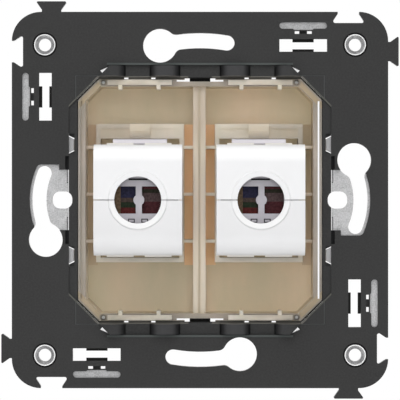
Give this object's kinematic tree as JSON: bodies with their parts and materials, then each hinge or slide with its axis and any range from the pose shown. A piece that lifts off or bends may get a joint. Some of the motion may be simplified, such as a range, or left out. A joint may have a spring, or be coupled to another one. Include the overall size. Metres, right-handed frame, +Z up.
{
  "type": "double ethernet wall socket",
  "caption": "Flush wall socket mechanism: square gang plate with a pale insert and two toolless network jacks whose caps hinge open.",
  "frame": {"origin": "centre of the mounting plate, on its rear face, which lies on the wall", "axes": "+Y into the wall box, -Y to the room, +Z up"},
  "size_m": [0.0748, 0.0283, 0.0748],
  "materials": {
    "zinc_steel": "galvanised, mottled",
    "dark_plastic": "matte moulded",
    "bush_steel": "plated, turned",
    "pale_plastic": "satin, slightly translucent",
    "white_plastic": "satin moulded",
    "grey_plastic": "satin moulded",
    "gold_contact": "gold plated",
    "tinned_contact": "tin plated",
    "board": "lacquered",
    "label": "printed film"
  },
  "bodies": {
    "socket": {"steel_plate": "zinc_steel", "rear_cover": "dark_plastic", "corner_bushes": "bush_steel", "front_insert": "pale_plastic", "left_jack_housing": "grey_plastic", "left_contact_springs": "gold_contact", "left_circuit_board": "board", "left_idc_contacts": "tinned_contact", "left_idc_block": "grey_plastic", "left_colour_label": "label", "right_jack_housing": "grey_plastic", "right_contact_springs": "gold_contact", "right_circuit_board": "board", "right_idc_contacts": "tinned_contact", "right_idc_block": "grey_plastic", "right_colour_label": "label"},
    "left_upper_flap": {"left_upper_flap": "white_plastic"},
    "left_lower_flap": {"left_lower_flap": "white_plastic"},
    "right_upper_flap": {"right_upper_flap": "white_plastic"},
    "right_lower_flap": {"right_lower_flap": "white_plastic"}
  },
  "joints": [
    {"name": "left_upper_flap_hinge", "type": "hinge", "parent": "socket", "child": "left_upper_flap", "pos_m": [0.01137, 0.0034, 0.0093], "axis": [1, 0, 0], "range_deg": [0, 90]},
    {"name": "left_lower_flap_hinge", "type": "hinge", "parent": "socket", "child": "left_lower_flap", "pos_m": [0.01137, 0.0034, -0.0093], "axis": [-1, 0, 0], "range_deg": [0, 90]},
    {"name": "right_upper_flap_hinge", "type": "hinge", "parent": "socket", "child": "right_upper_flap", "pos_m": [-0.01113, 0.0034, 0.0093], "axis": [1, 0, 0], "range_deg": [0, 90]},
    {"name": "right_lower_flap_hinge", "type": "hinge", "parent": "socket", "child": "right_lower_flap", "pos_m": [-0.01113, 0.0034, -0.0093], "axis": [-1, 0, 0], "range_deg": [0, 90]}
  ]
}
